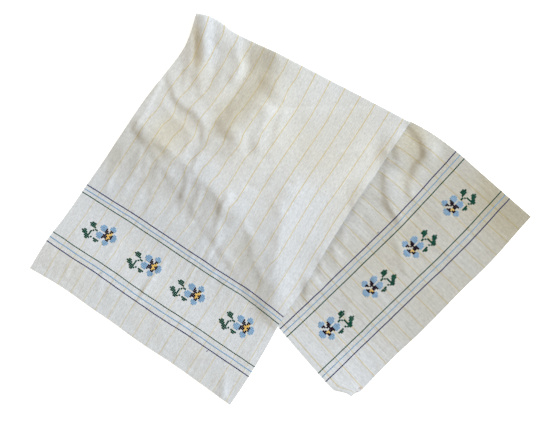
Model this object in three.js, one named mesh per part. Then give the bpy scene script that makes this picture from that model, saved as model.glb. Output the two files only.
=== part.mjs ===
// A long cotton show towel, folded over once and fanned out flat.
// Its first end lies to the front left with the right side up, and its second end
// lies to the front right with the wrong side up. Between the two a deep pleat is
// hidden under the upper layer, so that the lower layer can turn towards the right.
// Millimetres, +X to the right, +Y towards the fold, +Z up, the origin on the surface
// that the towel lies on, below the middle of its outline.

import * as THREE from 'three';

// Cloth
const CLOTH_THICKNESS = 1.0;
const LAYER_GAP = 0.6;
const LAYER_PITCH = CLOTH_THICKNESS + LAYER_GAP;

// Fineness of the faceted surface
const COLUMNS = 24;
const ROW_SPACING = 23;
const FOLD_STEPS = 4;

// A layer sinks to the one below over this distance beyond the edge it lies on
const STEP_WIDTH = 12;

// The middle of the outline, which becomes the origin
const OUTLINE_MIDDLE = { x: 0, y: -1.7 };

// Rulings run across the cloth, from one selvedge to the other. The rulings of a layer
// follow each other along the cloth. bow is how far the middle of a ruling stands off
// its chord, to the left of someone who walks from its left end to its right end.
const TOP_LAYER = [
  { name: 'first hem', leftX: -463, leftY: -108, rightX: -93, rightY: -361, bow: 4 },
  { name: 'first lower band', leftX: -430, leftY: -58, rightX: -57, rightY: -309, bow: 0 },
  { name: 'first flowers', leftX: -391, leftY: -6, rightX: -23, rightY: -254, bow: 3 },
  { name: 'first upper band', leftX: -356, leftY: 46, rightX: 7, rightY: -198, bow: 5 },
  { name: 'above the band', leftX: -319, leftY: 99, rightX: 42, rightY: -145, bow: 4 },
  { name: 'lower third', leftX: -288, leftY: 148, rightX: 77, rightY: -86, bow: 2 },
  { name: 'middle', leftX: -249, leftY: 203, rightX: 119, rightY: -17, bow: 0 },
  { name: 'upper third', leftX: -210, leftY: 253, rightX: 156, rightY: 40, bow: 0 },
  { name: 'below the fold', leftX: -177, leftY: 296, rightX: 193, rightY: 96, bow: 1 },
  { name: 'drawn in at the fold', leftX: -161, leftY: 325, rightX: 220, rightY: 134, bow: 3 },
  { name: 'upper fold', leftX: -151, leftY: 352, rightX: 238, rightY: 157, bow: 4 },
];
const TURNED_LAYER = [
  { name: 'upper fold', leftX: -151, leftY: 352, rightX: 238, rightY: 157, bow: 4 },
  { name: 'under the top', leftX: -163, leftY: 312, rightX: 205, rightY: 111, bow: 2 },
  { name: 'towards the pleat', leftX: -206, leftY: 222, rightX: 150, rightY: 27, bow: 0 },
  { name: 'front fold of the pleat', leftX: -275, leftY: 127, rightX: 92, rightY: -52, bow: 0 },
];
const PLEAT_LAYER = [
  { name: 'front fold of the pleat', leftX: -275, leftY: 127, rightX: 92, rightY: -52, bow: 0 },
  { name: 'inside the pleat', leftX: -268, leftY: 138, rightX: 141, rightY: 63, bow: 3 },
  { name: 'back fold of the pleat', leftX: -262, leftY: 149, rightX: 195, rightY: 181, bow: 8 },
];
const FLOOR_LAYER = [
  { name: 'back fold of the pleat', leftX: -262, leftY: 149, rightX: 195, rightY: 181, bow: 8 },
  { name: 'opening out', leftX: -206, leftY: 68, rightX: 206, rightY: 176, bow: 4 },
  { name: 'turning', leftX: -149, leftY: -13, rightX: 219, rightY: 170, bow: 0 },
  { name: 'turned', leftX: -101, leftY: -84, rightX: 230, rightY: 165, bow: -2 },
  { name: 'straight again', leftX: -64, leftY: -138, rightX: 243, rightY: 159, bow: -3 },
  { name: 'nearing the band', leftX: -32, leftY: -181, rightX: 282, rightY: 137, bow: -4 },
  { name: 'second upper band', leftX: -1, leftY: -221, rightX: 325, rightY: 107, bow: -5 },
  { name: 'second flowers', leftX: 42, leftY: -271, rightX: 375, rightY: 64, bow: -3 },
  { name: 'second lower band', leftX: 86, leftY: -321, rightX: 423, rightY: 20, bow: -2 },
  { name: 'second hem', leftX: 121, leftY: -361, rightX: 463, rightY: -13, bow: -4 },
];

// Soft humps of the upper layer: centre, reach to where it lies flat, and height
const TOP_HUMPS = [
  { name: 'round end of the fold', x: -150, y: 352, reach: 95, height: 15 },
  { name: 'shoulder below the fold', x: -84, y: 277, reach: 115, height: 6 },
  { name: 'left of the middle', x: -121, y: 185, reach: 100, height: 5 },
  { name: 'under the long stripes', x: 18, y: 231, reach: 110, height: 5 },
  { name: 'middle', x: -47, y: 129, reach: 95, height: 5 },
  { name: 'pleat below', x: -100, y: 60, reach: 90, height: 3 },
];
// Creases of the upper layer: a ridge has a positive height and a trough a negative one
const TOP_CREASES = [
  { name: 'steep trough at the round end', height: -10, reach: 17, path: [[-156, 345], [-151, 305], [-143, 244]] },
  { name: 'ridge beside it', height: 5, reach: 17, path: [[-136, 333], [-123, 292], [-132, 236]] },
  { name: 'shallow trough', height: -3, reach: 13, path: [[-97, 329], [-88, 296]] },
  { name: 'low ridge', height: 3, reach: 14, path: [[-64, 305], [-75, 255]] },
  { name: 'broad valley', height: -8, reach: 24, path: [[-49, 307], [-34, 255], [-69, 199], [-105, 160]] },
  { name: 'bank of the valley', height: 4, reach: 26, path: [[-10, 273], [-8, 222], [-34, 170]] },
  { name: 'hooked crease', height: -3, reach: 10, path: [[-186, 266], [-199, 234], [-156, 209], [-101, 220]] },
  { name: 'slanting trough', height: -4.5, reach: 13, path: [[-216, 225], [-173, 173], [-140, 138]] },
  { name: 'ridge over the trough', height: 3.5, reach: 18, path: [[-95, 216], [-143, 164]] },
  { name: 'short crease', height: -3, reach: 9, path: [[-117, 123], [-153, 92]] },
  { name: 'pinched crease', height: -4, reach: 12, path: [[-38, 160], [-43, 107]] },
  { name: 'ridge by the pinch', height: 3, reach: 12, path: [[-19, 144], [-32, 118]] },
  { name: 'curved crease', height: -3, reach: 10, path: [[-62, 51], [-25, 42], [18, 55]] },
  { name: 'ridge above it', height: 2.5, reach: 13, path: [[-56, 64], [18, 70], [132, 107]] },
  { name: 'edge of the pleat', height: -3.5, reach: 12, path: [[-251, 142], [-173, 79], [-117, 24]] },
  { name: 'lengthwise crumple one', height: 3, reach: 13, path: [[-282, 111], [-319, 46]] },
  { name: 'lengthwise crumple two', height: 4, reach: 14, path: [[-238, 101], [-276, 37]] },
  { name: 'lengthwise crumple three', height: 4, reach: 14, path: [[-192, 46], [-223, -14]] },
  { name: 'lengthwise crumple four', height: 4, reach: 13, path: [[-154, 25], [-191, -40]] },
  { name: 'lengthwise crumple five', height: 4, reach: 14, path: [[-98, -36], [-118, -70]] },
  { name: 'crease by the first flower', height: 4, reach: 13, path: [[-299, -58], [-329, -105]] },
  { name: 'crease by the second flower', height: 4, reach: 12, path: [[-217, -102], [-249, -148]] },
  { name: 'crumple above the notch', height: 4, reach: 15, path: [[-60, -112], [-33, -152]] },
  { name: 'lifted corner of the first hem', height: 4, reach: 15, path: [[-112, -318], [-104, -342]] },
];
// Humps and creases of the lower layer, where it shows
const FLOOR_HUMPS = [
  { name: 'puff by the fold', x: 217, y: 111, reach: 48, height: 8 },
  { name: 'far puff', x: 268, y: 112, reach: 42, height: 5 },
  { name: 'near puff', x: 156, y: 37, reach: 42, height: 4 },
  { name: 'middle puff', x: 207, y: 36, reach: 46, height: 5 },
  { name: 'puff by the notch', x: 58, y: -139, reach: 28, height: 3 },
  { name: 'curled corner', x: 127, y: -350, reach: 40, height: 5 },
];
const FLOOR_CREASES = [
  { name: 'hooked valley', height: -8, reach: 13, path: [[230, 142], [249, 116], [243, 86], [221, 61]] },
  { name: 'long valley', height: -5, reach: 13, path: [[175, 68], [180, 24], [203, -19]] },
  { name: 'nick by the notch', height: -3, reach: 10, path: [[45, -136], [40, -167]] },
];
// Where the outline is drawn in, as at the curled corner of the second hem
const PULLS = [
  { name: 'curled corner', x: 121, y: -361, reach: 41, shiftX: 9, shiftY: 16 },
];

const CLOTH_COLOUR = 0xe3e0d8;

function smooth(t) {
  const c = Math.min(Math.max(t, 0), 1);
  return c * c * (3 - 2 * c);
}

// One at the middle, none from the reach on, with no edge at either
function bump(distance, reach) {
  const t = distance / reach;
  return t >= 1 ? 0 : (1 - t * t) ** 2;
}

function distanceToSegment(x, y, a, b) {
  const dx = b[0] - a[0];
  const dy = b[1] - a[1];
  const lengthSquared = dx * dx + dy * dy || 1;
  const t = Math.min(Math.max(((x - a[0]) * dx + (y - a[1]) * dy) / lengthSquared, 0), 1);
  return Math.hypot(x - a[0] - t * dx, y - a[1] - t * dy);
}

function distanceToPath(x, y, path) {
  let nearest = Infinity;
  for (let i = 1; i < path.length; i++) {
    nearest = Math.min(nearest, distanceToSegment(x, y, path[i - 1], path[i]));
  }
  return nearest;
}

// Humps and ridges less the troughs, never below the surface it lies on
function relief(x, y, humps, creases) {
  let height = 0;
  for (const hump of humps) {
    height += hump.height * bump(Math.hypot(x - hump.x, y - hump.y), hump.reach);
  }
  for (const crease of creases) {
    height += crease.height * bump(distanceToPath(x, y, crease.path), crease.reach);
  }
  return Math.max(height, 0);
}

// Smooth interpolation through four neighbouring values
function spline(a, b, c, d, t) {
  const t2 = t * t;
  const t3 = t2 * t;
  return 0.5 * (2 * b + (c - a) * t + (2 * a - 5 * b + 4 * c - d) * t2 + (3 * b - a - 3 * c + d) * t3);
}

const RULING_VALUES = ['leftX', 'leftY', 'rightX', 'rightY', 'bow'];

// The rulings of a layer with evenly spaced ones between them
function denseRulings(rulings, spacing) {
  const dense = [];
  for (let i = 0; i + 1 < rulings.length; i++) {
    const around = [Math.max(i - 1, 0), i, i + 1, Math.min(i + 2, rulings.length - 1)];
    const [before, from, to, after] = around.map((index) => rulings[index]);
    const leftRun = Math.hypot(to.leftX - from.leftX, to.leftY - from.leftY);
    const rightRun = Math.hypot(to.rightX - from.rightX, to.rightY - from.rightY);
    const parts = Math.max(1, Math.round(Math.max(leftRun, rightRun) / spacing));
    for (let part = 0; part < parts; part++) {
      const ruling = {};
      for (const value of RULING_VALUES) {
        ruling[value] = spline(before[value], from[value], to[value], after[value], part / parts);
      }
      dense.push(ruling);
    }
  }
  dense.push({ ...rulings[rulings.length - 1] });
  return dense;
}

// A point of a ruling in plan, at a share of the way across, with the outline's pulls
function planPoint(ruling, across) {
  const dx = ruling.rightX - ruling.leftX;
  const dy = ruling.rightY - ruling.leftY;
  const length = Math.hypot(dx, dy);
  const bow = 4 * ruling.bow * across * (1 - across);
  let x = ruling.leftX + across * dx - (bow * dy) / length;
  let y = ruling.leftY + across * dy + (bow * dx) / length;
  for (const pull of PULLS) {
    const share = bump(Math.hypot(x - pull.x, y - pull.y), pull.reach);
    x += share * pull.shiftX;
    y += share * pull.shiftY;
  }
  return [x, y];
}

// The outline of a layer in plan
function layerOutline(rulings) {
  const dense = denseRulings(rulings, ROW_SPACING);
  const first = dense[0];
  const last = dense[dense.length - 1];
  const shares = Array.from({ length: 9 }, (_, i) => i / 8);
  return [
    ...shares.map((across) => planPoint(first, across)),
    ...dense.map((ruling) => planPoint(ruling, 1)),
    ...shares.toReversed().map((across) => planPoint(last, across)),
    ...dense.toReversed().map((ruling) => planPoint(ruling, 0)),
  ];
}

function isInside(x, y, outline) {
  let inside = false;
  for (let i = 0, j = outline.length - 1; i < outline.length; j = i++) {
    const [xi, yi] = outline[i];
    const [xj, yj] = outline[j];
    if (yi > y !== yj > y && x < ((xj - xi) * (y - yi)) / (yj - yi) + xi) {
      inside = !inside;
    }
  }
  return inside;
}

// One over a layer, sinking to none beyond its edge
function cover(x, y, outline) {
  if (isInside(x, y, outline)) {
    return 1;
  }
  return 1 - smooth(distanceToPath(x, y, [...outline, outline[0]]) / STEP_WIDTH);
}

const floorOutline = layerOutline(FLOOR_LAYER);
const pleatOutline = layerOutline(PLEAT_LAYER);
const turnedOutline = layerOutline(TURNED_LAYER);

// Height of the middle of each layer, counted in layers from the one on the floor
const layerHeights = [
  (x, y) => CLOTH_THICKNESS / 2 + relief(x, y, FLOOR_HUMPS, FLOOR_CREASES),
  (x, y) => layerHeights[0](x, y) + LAYER_PITCH * cover(x, y, floorOutline),
  (x, y) => layerHeights[1](x, y) + LAYER_PITCH * cover(x, y, pleatOutline),
  (x, y) => {
    const below = layerHeights[2](x, y) + LAYER_PITCH * cover(x, y, turnedOutline);
    return below + relief(x, y, TOP_HUMPS, TOP_CREASES);
  },
];

function layerRows(rulings, level) {
  return denseRulings(rulings, ROW_SPACING).map((ruling) => {
    const row = [];
    for (let column = 0; column <= COLUMNS; column++) {
      const [x, y] = planPoint(ruling, column / COLUMNS);
      row.push(new THREE.Vector3(x, y, layerHeights[level](x, y)));
    }
    return row;
  });
}

// The rows of a fold, a half circle from one layer to the next, standing out on the
// left of the ruling (side 1) or on its right (side -1)
function foldRows(ruling, fromLevel, toLevel, side) {
  const dx = ruling.rightX - ruling.leftX;
  const dy = ruling.rightY - ruling.leftY;
  const length = Math.hypot(dx, dy);
  const outwardX = (-dy / length) * side;
  const outwardY = (dx / length) * side;
  const rows = [];
  for (let step = 1; step < FOLD_STEPS; step++) {
    const angle = (Math.PI * step) / FOLD_STEPS;
    const row = [];
    for (let column = 0; column <= COLUMNS; column++) {
      const [x, y] = planPoint(ruling, column / COLUMNS);
      const from = layerHeights[fromLevel](x, y);
      const to = layerHeights[toLevel](x, y);
      const middle = (from + to) / 2;
      const radius = Math.abs(from - to) / 2;
      row.push(
        new THREE.Vector3(
          x + outwardX * radius * Math.sin(angle),
          y + outwardY * radius * Math.sin(angle),
          middle + ((from - to) / 2) * Math.cos(angle),
        ),
      );
    }
    rows.push(row);
  }
  return rows;
}

function lastOf(list) {
  return list[list.length - 1];
}

// The middle surface of the whole cloth, from the first hem to the second
function middleSurface() {
  return [
    ...layerRows(TOP_LAYER, 3),
    ...foldRows(lastOf(TOP_LAYER), 3, 2, 1),
    ...layerRows(TURNED_LAYER, 2),
    ...foldRows(lastOf(TURNED_LAYER), 2, 1, -1),
    ...layerRows(PLEAT_LAYER, 1),
    ...foldRows(lastOf(PLEAT_LAYER), 1, 0, 1),
    ...layerRows(FLOOR_LAYER, 0),
  ];
}

// The direction along a line of points, even where their spacing changes
function alongDirection(before, here, after) {
  const direction = new THREE.Vector3();
  if (before) {
    direction.add(here.clone().sub(before).normalize());
  }
  if (after) {
    direction.add(after.clone().sub(here).normalize());
  }
  return direction.normalize();
}

function surfaceNormal(rows, r, c) {
  const along = alongDirection(rows[r - 1]?.[c], rows[r][c], rows[r + 1]?.[c]);
  const across = alongDirection(rows[r][c - 1], rows[r][c], rows[r][c + 1]);
  return across.cross(along).normalize();
}

// Both faces of the cloth and the rim that joins them, as one closed surface
function clothGeometry() {
  const rows = middleSurface();
  const columns = COLUMNS + 1;
  const positions = [];
  for (const side of [0.5, -0.5]) {
    rows.forEach((row, r) => {
      row.forEach((point, c) => {
        const offset = surfaceNormal(rows, r, c).multiplyScalar(side * CLOTH_THICKNESS);
        positions.push(...point.clone().add(offset).toArray());
      });
    });
  }
  const lower = rows.length * columns;
  const indices = [];
  const quad = (a, b, c, d) => indices.push(a, b, c, a, c, d);
  for (let r = 0; r + 1 < rows.length; r++) {
    for (let c = 0; c + 1 < columns; c++) {
      const here = r * columns + c;
      quad(here, here + 1, here + columns + 1, here + columns);
      quad(lower + here, lower + here + columns, lower + here + columns + 1, lower + here + 1);
    }
    const left = r * columns;
    const right = left + columns - 1;
    quad(left, left + columns, lower + left + columns, lower + left);
    quad(right, lower + right, lower + right + columns, right + columns);
  }
  const lastRow = (rows.length - 1) * columns;
  for (let c = 0; c + 1 < columns; c++) {
    quad(c, lower + c, lower + c + 1, c + 1);
    quad(lastRow + c, lastRow + c + 1, lower + lastRow + c + 1, lower + lastRow + c);
  }
  const geometry = new THREE.BufferGeometry();
  geometry.setAttribute('position', new THREE.Float32BufferAttribute(positions, 3));
  geometry.setIndex(indices);
  geometry.computeVertexNormals();
  return geometry;
}

const towel = new THREE.Mesh(
  clothGeometry(),
  new THREE.MeshStandardMaterial({ color: CLOTH_COLOUR, roughness: 0.9, metalness: 0 }),
);
towel.name = 'towel';
towel.position.set(-OUTLINE_MIDDLE.x, -OUTLINE_MIDDLE.y, 0);

const group = new THREE.Group();
group.name = 'show_towel';
group.add(towel);

export default group;
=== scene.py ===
"""A long cream cotton show towel, folded over and fanned out flat, seen from above.

The cloth is one thin sheet on the folds of the solid that it stands for. Its creases, the
gold stripes, the lines of its bands and the flowers are placed one by one. Lengths in the
tables are millimetres, +X to the right, +Y towards the fold, +Z up.
"""

import math

import bpy
import numpy as np
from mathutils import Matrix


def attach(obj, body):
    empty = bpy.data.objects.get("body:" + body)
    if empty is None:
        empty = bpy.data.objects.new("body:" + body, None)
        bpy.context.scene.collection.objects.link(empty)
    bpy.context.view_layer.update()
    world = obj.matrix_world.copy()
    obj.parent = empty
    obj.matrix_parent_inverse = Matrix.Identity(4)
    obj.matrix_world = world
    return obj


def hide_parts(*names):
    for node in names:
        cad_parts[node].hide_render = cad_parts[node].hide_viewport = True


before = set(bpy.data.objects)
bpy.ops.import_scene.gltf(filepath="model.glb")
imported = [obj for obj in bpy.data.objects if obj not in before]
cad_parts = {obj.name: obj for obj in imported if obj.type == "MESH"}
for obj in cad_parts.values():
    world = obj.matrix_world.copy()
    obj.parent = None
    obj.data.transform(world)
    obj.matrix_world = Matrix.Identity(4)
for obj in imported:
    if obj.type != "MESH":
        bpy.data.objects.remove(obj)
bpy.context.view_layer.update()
MM = 0.001

# Cloth
WIDTH = 490.0
LENGTH = 1480.0
THICKNESS = 0.6
HEM = 6.0
HEM_FULLNESS = 1.9
LAYER_PITCH = 1.6
FLOOR_MIDDLE = 0.4
OUTLINE_SHIFT_Y = 1.7

# How deep the folds are, and how much of their roundness is pressed out
FOLD_DEPTH = 1.0
FOLD_FLATNESS = 0.8

# How gently the troughs end where they reach the layer below
SOFT_CUT = 0.4
# How far the creases stray from their paths, and how uneven they are
CREASE_STRAY = 5.0
CREASE_UNEVENNESS = 0.35
STRAY_PITCH = 26.0

# Fine crumples: pitch of each noise across and along the cloth
CRUMPLE_WANDER = 7.0
WANDER_PITCH = (70.0, 60.0)
BROAD_PITCH = (15.0, 80.0)
NARROW_PITCH = (8.0, 46.0)
SKEWED_PITCH = (19.0, 33.0)
SKEW = 0.5
CRUMPLE_FADE = 30.0
UNCOVERED_STEP = 10.0

# Seeds of the noises
STRAY_X_SEED, STRAY_Y_SEED, STRENGTH_SEED = 51, 52, 53
TOP_CRUMPLE_SEED, FLOOR_CRUMPLE_SEED = 11, 31
BAND_SEED, HEM_SEED = 5, 8

# Fineness of the cloth's grid
COLUMNS = 144
FINE_ROWS = 4.2
COARSE_ROWS = 12.0
FOLD_STEPS = 8
OUTLINE_PARTS = 8

# Rulings run across the cloth, from one selvedge to the other: name, the left end's x and
# y, the right end's x and y, bow, and the place along the cloth of the left and right end.
# These four end one layer and start the next.
UPPER_FOLD = ("upper fold", -155, 357, 239, 160, 4, 559, 613)
PLEAT_FRONT = ("front fold of the pleat", -275, 127, 92, -52, 0, 818, 872)
PLEAT_BACK = ("back fold of the pleat", -262, 149, 195, 181, 8, 843, 1146)
TURNED = ("turned", -101, -84, 230, 165, -2, 1126, 1184)
TOP_LAYER = [
    ("first hem", -463, -108, -93, -361, 4, 0, 0),
    ("first lower band", -432, -57, -58, -308, 0, 61, 61),
    ("first flowers", -393, -5, -25, -253, 3, 125, 125),
    ("first upper band", -357, 47, 6, -197, 5, 189, 189),
    ("above the band", -320, 100, 42, -145, 4, 254, 253),
    ("lower third", -288, 148, 77, -86, 2, 312, 321),
    ("middle", -250, 204, 119, -17, 0, 379, 402),
    ("upper third", -211, 254, 156, 40, 0, 443, 470),
    ("below the fold", -178, 297, 194, 97, 1, 497, 537),
    ("drawn in at the fold", -164, 327, 222, 137, 4, 530, 584),
    UPPER_FOLD,
]
TURNED_LAYER = [
    UPPER_FOLD,
    ("under the top", -163, 312, 205, 111, 2, 601, 670),
    ("towards the pleat", -206, 222, 150, 27, 0, 701, 770),
    PLEAT_FRONT,
]
PLEAT_LAYER = [
    PLEAT_FRONT,
    ("inside the pleat", -268, 138, 141, 63, 3, 831, 1005),
    PLEAT_BACK,
]
FLOOR_START = [
    PLEAT_BACK,
    ("opening out", -206, 68, 206, 176, 4, 941, 1158),
    ("turning", -149, -13, 219, 170, 0, 1040, 1172),
    TURNED,
]
FLOOR_END = [
    TURNED,
    ("straight again", -64, -138, 244, 161, -3, 1192, 1199),
    ("nearing the band", -32, -181, 283, 139, -4, 1245, 1244),
    ("second upper band", -1, -221, 325, 108, -5, 1296, 1296),
    ("second flowers", 42, -271, 375, 64, -3, 1361, 1361),
    ("second lower band", 86, -321, 424, 21, -2, 1427, 1427),
    ("second hem", 121, -361, 463, -13, -4, 1480, 1480),
]

# Soft humps: x, y, reach and height
TOP_HUMPS = [
    ("round end of the fold", -150, 352, 95, 15),
    ("shoulder below the fold", -84, 277, 115, 6),
    ("left of the middle", -121, 185, 100, 5),
    ("under the long stripes", 18, 231, 110, 5),
    ("middle", -47, 129, 95, 5),
    ("pleat below", -100, 60, 90, 3),
]
FLOOR_HUMPS = [
    ("puff by the fold", 217, 111, 48, 8),
    ("far puff", 268, 112, 42, 5),
    ("near puff", 156, 37, 42, 4),
    ("middle puff", 207, 36, 46, 5),
    ("puff by the notch", 58, -139, 28, 3),
    ("curled corner", 127, -350, 40, 5),
]
# The edge of the pleat, as it shows through the top layer
PLEAT_EDGE = [(-249, 142), (-208, 111), (-171, 77), (-127, 37), (-101, -4)]
# Creases: height, reach to the left and to the right of the path as it runs, and path.
# A ridge is positive and a trough negative.
TOP_CREASES = [
    ("ridge at the round end", 3.0, 19, 30, [(-141, 358), (-138, 305), (-142, 277), (-151, 247)]),
    ("foot of that ridge", -1.8, 12, 10, [(-157, 345), (-156, 305), (-159, 270)]),
    ("hollow right of it", -1.5, 22, 20, [(-117, 333), (-116, 281), (-129, 233)]),
    ("low ridge before the valley", 2.4, 14, 26, [(-79, 303), (-73, 270), (-82, 236)]),
    (
        "bank of the valley", 6.0, 60, 44,
        [(-6, 281), (1, 255), (-10, 222), (-34, 194), (-62, 170), (-92, 142)],
    ),
    (
        "floor of the valley", -1.8, 16, 22,
        [(-56, 303), (-56, 262), (-75, 225), (-97, 196), (-123, 162)],
    ),
    ("hook", 1.8, 16, 10, [(-162, 273), (-173, 257), (-179, 233)]),
    ("dimple", -1.5, 12, 12, [(-154, 222), (-153, 207)]),
    ("crease below the shoulder", -1.5, 12, 14, [(-140, 222), (-97, 236)]),
    (
        "bank of the slanting trough", 2.7, 30, 13,
        [(-204, 240), (-190, 207), (-158, 183), (-138, 157), (-140, 133)],
    ),
    ("low side of the slanting trough", 1.2, 13, 24, [(-217, 199), (-191, 166), (-164, 140)]),
    ("bright streak", 1.5, 9, 14, [(-167, 129), (-179, 99)]),
    ("pinched ridge", 2.4, 15, 9, [(-119, 123), (-142, 112), (-160, 81)]),
    ("ridge by the pinch", 2.8, 24, 22, [(-27, 181), (-32, 148), (-42, 111)]),
    ("dimple below the pinch", -1.5, 20, 20, [(-56, 109), (-34, 98)]),
    ("bright crest", 1.4, 22, 14, [(3, 173), (-12, 125)]),
    ("curved crease", -1.4, 10, 9, [(-60, 42), (-29, 38), (1, 46), (19, 53)]),
    ("long low ridge", 1.5, 16, 15, [(-19, 55), (36, 79), (92, 98), (140, 107), (217, 111)]),
    ("margin ridge", 2.5, 9, 16, [(-221, 236), (-241, 197), (-254, 170), (-265, 149)]),
    ("edge of the margin", -1.5, 14, 12, [(-264, 148), (-269, 116), (-278, 83)]),
    ("edge of the pleat", 2.3, 80, 20, PLEAT_EDGE),
    ("crumple one", -1.7, 10, 12, [(-182, 62), (-193, 18)]),
    ("crumple two", 1.8, 10, 12, [(-167, 59), (-180, 7)]),
    ("crumple three", 1.5, 9, 11, [(-149, 40), (-162, -8)]),
    ("crumple four", 1.4, 10, 12, [(-223, 83), (-241, 33)]),
    ("crumple five", 1.5, 10, 12, [(-256, 107), (-282, 44)]),
    ("crumple six", 1.2, 9, 10, [(-301, 83), (-323, 37)]),
    ("puffed fold", 2.4, 20, 13, [(-99, 25), (-110, -8), (-121, -45)]),
    ("small puff", 1.4, 16, 16, [(-66, -23), (-49, -56)]),
    ("crest of the wedge", 3.0, 62, 42, [(6, 33), (1, -19), (-6, -74), (-12, -139), (-12, -174)]),
    ("shaded fold by the notch", 1.4, 14, 12, [(-64, -41), (-49, -78), (-34, -123)]),
    ("crease by the first flower", 1.4, 12, 14, [(-299, -58), (-328, -104)]),
    ("crease by the second flower", 2.1, 11, 13, [(-214, -100), (-249, -148)]),
    ("crease across the lower band", 1.4, 12, 10, [(-251, -148), (-264, -178)]),
    ("crease by the fourth flower", 1.2, 12, 14, [(-34, -222), (-56, -278)]),
    ("streak by the first hem", 1.2, 10, 12, [(-380, -97), (-397, -123)]),
    ("lifted corner of the first hem", 2.4, 14, 18, [(-108, -311), (-103, -341)]),
]
FLOOR_CREASES = [
    ("hooked ridge", 3.6, 40, 11, [(243, 155), (258, 123), (262, 98), (251, 72), (236, 37)]),
    ("dimple by the edge", -1.8, 12, 12, [(206, 111), (210, 96)]),
    ("long ridge", 3.2, 36, 11, [(195, 62), (195, 31), (204, 7), (216, -17)]),
    ("low far ridge", 1.8, 20, 20, [(275, 111), (265, 92), (254, 66)]),
    ("nick by the notch", 2.1, 18, 10, [(53, -126), (49, -163)]),
    ("mottled crease one", 1.7, 14, 12, [(136, 18), (140, -15)]),
    ("mottled crease two", 1.5, 14, 12, [(99, -67), (103, -100)]),
    ("mottled crease three", 1.4, 14, 12, [(75, -86), (79, -115)]),
    ("mottled crease four", 1.4, 12, 12, [(116, -34), (117, -60)]),
    ("crease across the lines", 1.8, 20, 14, [(208, -30), (217, -67), (228, -108)]),
    ("crease by the last flower", 1.2, 16, 12, [(132, -167), (121, -200)]),
    ("wave of the hem", 1.2, 16, 16, [(351, 37), (295, -10)]),
]
# Fine crumples: height, reach and path
TOP_CRUMPLES = [
    ("left part", 2.8, 110, [(-270, 90), (-150, -60), (-60, -130)]),
    ("first end", 1.8, 90, [(-400, -100), (-250, -200), (-100, -300)]),
    ("below the fold", 1.3, 110, [(-160, 270), (-60, 140)]),
]
FLOOR_CRUMPLES = [
    ("beside the upper layer", 2.6, 60, [(200, 60), (120, -40), (60, -110)]),
    ("second end", 1.4, 120, [(380, 50), (120, -250)]),
]
# Where the outline is drawn in or let out: x, y, reach, and the shift in x and y
PULLS = [
    ("curled corner", 121, -361, 41, 9, 16),
    ("fold beside the round end", -122, 346, 45, 3, 6),
    ("first hem drawn in", -405, -145, 75, 1.4, 2.1),
    ("first hem let out", -258, -243, 75, -1.2, -1.8),
    ("second hem drawn in", 205, -280, 80, -1.5, 1.5),
    ("second hem let out", 390, -92, 90, 1.7, -1.7),
]

# Gold stripes, as shares of the width, and where the first one is at places along the cloth
STRIPE_COUNT = 15
STRIPE_PITCH = 0.065
STRIPE_WIDTH = 0.0033
STRIPE_SOFTNESS = 0.4
FIRST_STRIPE_ALONG = (0.0, 590.0, 1290.0, LENGTH)
FIRST_STRIPE_SHARE = (0.068, 0.05, 0.0242, 0.0242)
# How strongly the gold shows at places along the cloth
GOLD_ALONG = (0.0, 200.0, 330.0, 560.0, 1180.0, LENGTH)
GOLD_STRENGTH = (0.62, 0.66, 0.92, 0.96, 0.85, 0.80)
# Where the top layer's stripes drift: how far to the right selvedge, reach and path
TOP_DRIFTS = [
    ("left stripes", 1.6, 260, [(-352, -184), (-37, 298)]),
    ("left stripes above the middle", 1.4, 110, [(-250, 200), (-130, 130)]),
    ("middle stripes", -8, 150, [(-270, -210), (-60, 120), (40, 270)]),
    ("right stripes by the fold", 5, 110, [(150, 60), (200, 130)]),
    ("shoulder below the fold", 6, 30, [(-108, 323), (-45, 305)]),
    ("above the slanting trough", -3.5, 26, [(-190, 209), (-149, 170), (-84, 170)]),
    ("across the middle", 6, 26, [(-204, 175), (-164, 135), (-140, 116), (-47, 118)]),
    ("along the pleat", -5, 24, [(-238, 83), (-173, 86), (-149, 77), (-97, 3)]),
    ("below the pleat", 4, 28, [(-284, 3), (-214, 9), (-180, 5), (-143, -87), (-95, -124)]),
    ("by the first flower", -4, 26, [(-356, -47), (-293, -56)]),
    ("above the notch", -5, 28, [(-23, -108), (-30, -120)]),
    ("dimple", 4, 18, [(-132, 225), (-140, 218)]),
    ("by the round end", 3, 18, [(-164, 273), (-170, 266)]),
    ("left margin", 3.5, 18, [(-223, 194), (-230, 184)]),
    ("bank of the valley", -3.5, 28, [(-10, 231), (14, 218)]),
    ("left stripes of the first end", -2.0, 110, [(-426, -102), (-343, -148)]),
    ("right stripes of the first end", -3.2, 120, [(-205, -300), (-110, -250)]),
    ("left stripes above the band", 3.2, 90, [(-241, -47), (-177, -10), (-140, 83)]),
    ("last stripe by the notch", -2.0, 30, [(-84, -324), (-3, -187), (36, -120), (64, -84)]),
    ("last stripe by the fold", -3.0, 35, [(147, 46), (175, 88)]),
    ("valley at the fold", 2.3, 45, [(-56, 277), (-34, 295)]),
    ("beyond the valley", -1.7, 60, [(8, 249), (92, 212)]),
    ("beside the wedge", -2.4, 40, [(-75, -87), (-23, -108)]),
]

# Coloured lines of the bands: thread, place along the cloth, width and band
BAND_LINES = [
    ("navy", 61.0, 2.5, 0),
    ("light_blue", 71.0, 2.5, 0),
    ("green", 81.3, 2.3, 0),
    ("green", 172.5, 2.3, 1),
    ("light_blue", 180.4, 2.3, 1),
    ("navy", 188.6, 2.5, 1),
    ("navy", 1296.0, 2.6, 2),
    ("light_blue", 1305.8, 2.1, 2),
    ("green", 1315.4, 2.5, 2),
    ("green", 1405.5, 2.5, 3),
    ("light_blue", 1415.4, 2.2, 3),
    ("navy", 1426.0, 2.6, 3),
]
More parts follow.
